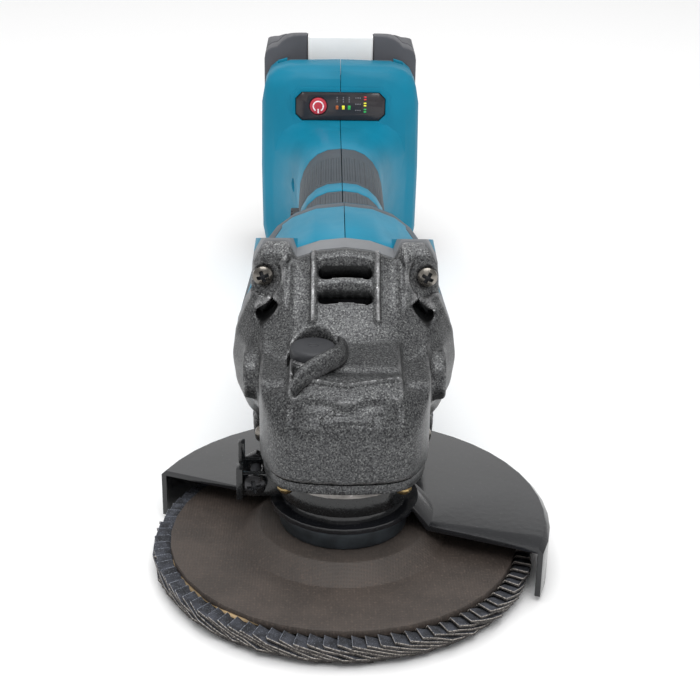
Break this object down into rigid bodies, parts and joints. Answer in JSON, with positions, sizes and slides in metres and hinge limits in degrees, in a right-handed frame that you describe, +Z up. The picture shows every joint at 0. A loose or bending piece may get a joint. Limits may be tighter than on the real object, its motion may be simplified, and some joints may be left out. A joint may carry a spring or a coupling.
{
  "type": "angle grinder",
  "caption": "Cordless angle grinder with a flap disc under a half guard, a cast gear head, a slim grip and a battery that slides onto the foot.",
  "frame": {"origin": "centre of the spindle's lower end face", "axes": "+Z up along the spindle's axis, +Y from the disc end to the battery end, +X to the right when looking along +Y"},
  "size_m": [0.1304, 0.4075, 0.1164],
  "materials": {
    "cast_head": "fine speckled metallic cast",
    "bright_steel": "turned and plated",
    "dark_steel": "black oxide",
    "guard_paint": "gloss black",
    "blue_plastic": "fine satin",
    "grey_plastic": "satin",
    "black_plastic": "satin",
    "soft_rubber": "ribbed soft touch",
    "fibre": "resin-bonded glass fibre",
    "abrasive": "abrasive cloth",
    "white_plastic": "satin",
    "red_plastic": "satin",
    "copper": "enamelled wire",
    "circuit_board": "lacquered",
    "cell_wrap": "shrink film"
  },
  "bodies": {
    "body": {"gear_housing": "cast_head", "bearing_box": "bright_steel", "bearing_box_screw_1": "bright_steel", "bearing_box_screw_2": "bright_steel", "bearing_box_screw_3": "bright_steel", "bearing_box_screw_4": "bright_steel", "housing_screw_1": "bright_steel", "housing_screw_2": "bright_steel", "housing_screw_3": "bright_steel", "housing_screw_4": "bright_steel", "baffle_ring": "grey_plastic", "spindle_bearing_lower": "bright_steel", "spindle_bearing_upper": "bright_steel", "motor_bearing_front": "bright_steel", "motor_bearing_rear": "bright_steel", "stator": "copper", "housing_left": "blue_plastic", "housing_right": "blue_plastic", "motor_rubber_left": "soft_rubber", "motor_rubber_right": "soft_rubber", "grip_rubber_left": "soft_rubber", "grip_rubber_right": "soft_rubber", "body_screw_1": "dark_steel", "body_screw_2": "dark_steel", "body_screw_3": "dark_steel", "body_screw_4": "dark_steel", "body_screw_5": "dark_steel", "control_panel": "black_plastic", "power_button_spring": "bright_steel", "switch_unit": "black_plastic", "controller_board": "circuit_board", "terminal_block": "copper", "lock_spring": "bright_steel"},
    "spindle": {"spindle": "bright_steel", "retaining_ring": "bright_steel", "crown_gear": "dark_steel", "inner_flange": "dark_steel", "backing_plate": "fibre", "flap_ring": "abrasive", "lock_nut": "dark_steel"},
    "rotor": {"rotor_shaft": "bright_steel", "pinion": "dark_steel", "fan": "black_plastic", "rotor_core": "dark_steel"},
    "lock_button": {"lock_button": "black_plastic", "lock_pin": "bright_steel"},
    "guard": {"guard": "guard_paint", "guard_clamp_band": "guard_paint", "guard_clamp_screw": "dark_steel", "guard_clamp_nut": "dark_steel"},
    "slide_switch": {"slide_switch": "black_plastic", "switch_rod": "black_plastic"},
    "power_button": {"power_button": "red_plastic"},
    "battery": {"battery_cover": "black_plastic", "battery_case": "black_plastic", "latch_spring": "bright_steel", "cell_pack": "cell_wrap", "battery_board": "circuit_board"},
    "battery_latch": {"battery_latch": "white_plastic"}
  },
  "joints": [
    {"name": "spindle_spin", "type": "hinge", "parent": "body", "child": "spindle", "pos_m": [0, 0, 0], "axis": [0, 0, 1], "continuous": true},
    {"name": "rotor_spin", "type": "hinge", "parent": "body", "child": "rotor", "pos_m": [0, 0.02, 0.0575], "axis": [0, 1, 0], "continuous": true},
    {"name": "lock_button_press", "type": "slide", "parent": "body", "child": "lock_button", "axis": [0, 0, -1], "range_m": [0, 0.003], "stiffness_N_per_m": 350, "springref_m": -0.002, "deforming": ["lock_spring"]},
    {"name": "guard_swing", "type": "hinge", "parent": "body", "child": "guard", "pos_m": [0, 0, 0.03], "axis": [0, 0, 1], "range_deg": [-20, 120]},
    {"name": "slide_switch_push", "type": "slide", "parent": "body", "child": "slide_switch", "axis": [0, -1, 0], "range_m": [0, 0.008]},
    {"name": "power_button_press", "type": "slide", "parent": "body", "child": "power_button", "axis": [0, 1, 0], "range_m": [0, 0.0006], "stiffness_N_per_m": 600, "springref_m": -0.001, "deforming": ["power_button_spring"]},
    {"name": "battery_slide", "type": "slide", "parent": "body", "child": "battery", "axis": [0, 0, 1], "range_m": [0, 0.1]},
    {"name": "battery_latch_push", "type": "slide", "parent": "battery", "child": "battery_latch", "axis": [0, 1, 0], "range_m": [0, 0.0032], "stiffness_N_per_m": 500, "springref_m": -0.002, "deforming": ["latch_spring"]}
  ],
  "couplings": [
    {"joint": "rotor_spin", "follows": "spindle_spin", "ratio": 3.1111}
  ]
}
